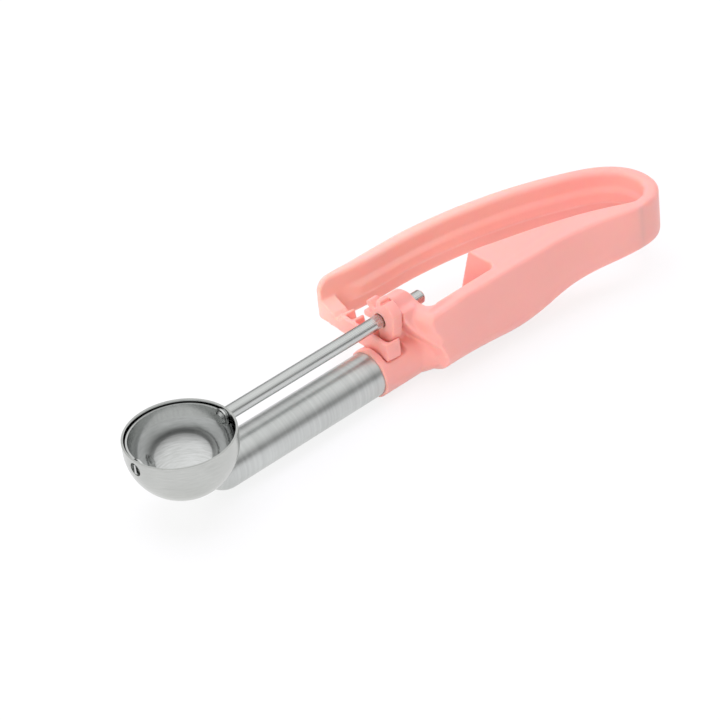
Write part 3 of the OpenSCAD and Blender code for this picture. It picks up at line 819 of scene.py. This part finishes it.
# %% The pinion, in millimetres and degrees from +Y
TIP_R, ROOT_R, HALF_TOOTH, CROWN = 7.9, 4.5, 1.1, 0.006
TOOTH_STEP = 360 / TOOTH_PLACES
STOP_R, STOP_FLAT, STOP_AT = 7.8, 4.55, 147.3   # the stop's radius, its flat end and where that is
STOP_BACK = [(169.5, 6.61), (200, 6.35), (226.3, 7.745)]
PINION_X = ((84.6, 0.3), (84.9, 0.0), (88.5, 0.0), (88.8, 0.3))   # place along the rod, bevel
HOLE_X, HOLE_R = (80, 95), 2.52
FINE_VOXEL, FEW_ROUNDS = 0.17, 3


def pinion_radius(a):
    """Radius of the pinion's outline at angle a: round root, parallel-sided teeth 45 degrees apart
    with a crowned tip, and a stop sector that runs into the lowest tooth with a flat near side. A
    flat side at distance w has the radius w over the sine of the angle from it."""
    d = (a + TOOTH_STEP / 2) % TOOTH_STEP - TOOTH_STEP / 2
    flank = HALF_TOOTH / np.maximum(np.abs(np.sin(np.radians(d))), 1e-3)
    r = np.maximum(ROOT_R, np.minimum(TIP_R - CROWN * d**2, flank))
    lead, low = np.arange(100, 151, 1.0), np.arange(228, 271, 1.0)
    flat = np.minimum(STOP_R, STOP_FLAT / np.sin(np.radians(np.clip(STOP_AT - lead, 5, 90))))
    edge = np.vstack([np.c_[lead, flat], STOP_BACK, np.c_[low, np.full(low.size, STOP_R)]])
    stop = np.interp(a, edge[:, 0], edge[:, 1], left=0, right=0)
    return np.where((a > 100) & (a < 229), np.maximum(ROOT_R, stop), np.maximum(r, stop))


# %% Thickness, hole and smoothing
a = np.arange(0, 360, 0.75)
radius, t = pinion_radius(a), np.radians(a)
print("pinion radius, mm:", radius.min(), "to", radius.max())
rings = [np.stack([np.full_like(t, x), (radius - bevel) * np.cos(t),
                   PIVOT_Z + (radius - bevel) * np.sin(t)], 1) for x, bevel in PINION_X]
gear = closed_skin("pinion_blank", np.array(rings))
hole = round_x("pinion_hole", *HOLE_X, 0, PIVOT_Z, HOLE_R)
cut_out(gear, [hole])
drop(hole)
pinion = one_skin("toothed_pinion", [gear], FINE_VOXEL, FEW_ROUNDS)
pinion.data.materials.append(PINK)
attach(pinion, "drive")
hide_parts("pinion")

# %% [markdown]
# ## Finishes for the metal pieces
# Bowl, tube, rod, pin, blade and braze are already right in the CAD model, so they keep their own
# meshes and only take a finish. Copying them as new meshes would gain nothing and could drift from
# the model.

# %% Dress the CAD nodes
NODE_FINISH = {"bowl": BOWL_STEEL, "tube": TUBE_STEEL, "drive_rod": ROD_STEEL, "tube_pin": ROD_STEEL,
               "scraper_blade": BLADE_STEEL, "braze_fillet": BRAZE_METAL, "pinion": PINK,
               "handle_body": PINK, "squeeze_arm": PINK}
for name, finish in NODE_FINISH.items():
    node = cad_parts[name]
    node.data.materials.clear()
    node.data.materials.append(finish)
print("dressed:", sorted(NODE_FINISH))

# %% [markdown]
# ## The floor
# The tool lies on white paper. More light would also whiten the tool, so the paper is pale by
# itself, and what the camera and the metal see of it is mixed with a plain white glow. The rest of
# the mix keeps the soft shadow.

# %% Floor
SIDE, DROP = 6, 0.0002                   # metres: the paper's side, and how far it lies below
PAPER, WHITE_SHARE = 0.92, 0.8


def panel(name, centre, size):
    """A flat square that faces up."""
    h = size / 2
    data = bpy.data.meshes.new(name)
    data.from_pydata([(-h, -h, 0), (h, -h, 0), (h, h, 0), (-h, h, 0)], [], [(0, 1, 2, 3)])
    made = bpy.data.objects.new(name, data)
    made.location = centre
    scene.collection.objects.link(made)
    return made


floor = panel("floor", (0, 0, -DROP), SIDE)
print("floor, m:", tuple(floor.dimensions))

# %% White paper
paper = bpy.data.materials.new("white_paper")
paper.use_nodes = True
tree = paper.node_tree
shader = tree.nodes["Principled BSDF"]
shader.inputs["Base Color"].default_value = (PAPER, PAPER, PAPER, 1)
shader.inputs["Roughness"].default_value = 0.9
glow = tree.nodes.new("ShaderNodeEmission")
glow.inputs["Strength"].default_value = 1.0
light_path = tree.nodes.new("ShaderNodeLightPath")
mix = tree.nodes.new("ShaderNodeMixShader")
camera_ray, glossy_ray, through_ray = (
    Val(tree, light_path.outputs[kind])
    for kind in ("Is Camera Ray", "Is Glossy Ray", "Is Transmission Ray"))
feed(tree, mix.inputs[0], (camera_ray + glossy_ray + through_ray).clamp() * WHITE_SHARE)
tree.links.new(shader.outputs[0], mix.inputs[1])
tree.links.new(glow.outputs[0], mix.inputs[2])
tree.links.new(mix.outputs[0], tree.nodes["Material Output"].inputs[0])
floor.data.materials.append(paper)
print("paper's own grey:", PAPER, "share of plain white:", WHITE_SHARE)

# %% [markdown]
# ## The studio
# Product photographs are lit by large soft boxes, and bright metal shows the room more than the
# lamps. So the room that a mirror ray sees has a white card overhead and a grey band low down,
# while plain rays find an even grey. Area lamps from above, from both sides, from the near corner
# and from behind shape the plastic.

# %% The room that the metal mirrors
# from below to above: grey, a darker band low down, pale walls and a white card overhead
ROOM = ((0.0, 0.6), (0.12, 0.5), (0.2, 0.16), (0.29, 0.28), (0.5, 0.75), (0.66, 1.0), (1.0, 1.15))
PLAIN = 0.33                             # what every other ray finds

world = bpy.data.worlds.new("studio")
scene.world = world
world.use_nodes = True
tree = world.node_tree
sky = tree.nodes["Background"]
way = tree.nodes.new("ShaderNodeTexCoord")
split_way = tree.nodes.new("ShaderNodeSeparateXYZ")
feed(tree, split_way.inputs[0], way.outputs["Generated"])
room = colour_ramp(tree, split_way.outputs[2], *((at, (level,) * 3) for at, level in ROOM))
light_path = tree.nodes.new("ShaderNodeLightPath")
camera_ray, glossy_ray, through_ray = (
    Val(tree, light_path.outputs[kind])
    for kind in ("Is Camera Ray", "Is Glossy Ray", "Is Transmission Ray"))
seen = camera_ray + through_ray
light = seen + (1.0 - seen) * (glossy_ray * room + (1.0 - glossy_ray) * PLAIN)
feed(tree, sky.inputs["Color"], (1, 1, 1, 1))
feed(tree, sky.inputs["Strength"], light)
print("room:", len(ROOM), "levels")


# %% Soft boxes
def lamp(name, at, aim, size, watts, colour=(1.0, 1.0, 1.0)):
    """A rectangular soft box at a point, turned towards another point, in metres. Metal doesn't
    mirror it."""
    data = bpy.data.lights.new(name, "AREA")
    data.shape = "RECTANGLE"
    data.size, data.size_y = size
    data.energy = watts
    data.color = colour
    made = bpy.data.objects.new(name, data)
    scene.collection.objects.link(made)
    back = np.array(at, float) - np.array(aim, float)
    back /= np.linalg.norm(back)
    right = np.cross((0, 0, 1), back)
    right /= np.linalg.norm(right)
    turned = np.eye(4)
    turned[:3, :] = np.stack([right, np.cross(back, right), back, at], 1)
    made.matrix_world = Matrix(turned.tolist())
    made.visible_glossy = False


lamp("top_light", (0.1, 0.1, 0.9), (0, 0, 0), (0.9, 0.9), 6.4, (1.0, 0.96, 1.13))
lamp("left_light", (-0.8, 0.1, 0.5), (0, 0, 0), (0.7, 0.5), 2.1)
lamp("left_low_light", (-0.95, -0.1, 0.2), (0, 0, 0.02), (0.7, 0.3), 1.3)
lamp("corner_light", (-0.65, -0.65, 0.5), (0, 0, 0), (0.6, 0.4), 2.75)
lamp("right_light", (0.95, 0.3, 0.15), (0, 0, 0.02), (0.5, 0.3), 3.6)
lamp("back_low_light", (0.1, 0.95, 0.25), (0, 0, 0.01), (0.8, 0.3), 0.9)
lamp("back_light", (0.1, 0.9, 0.5), (0, 0, 0), (0.8, 0.5), 2.3)
print("lamps, W:", {data.name: round(data.energy, 2) for data in bpy.data.lights})

# %% [markdown]
# ## The end
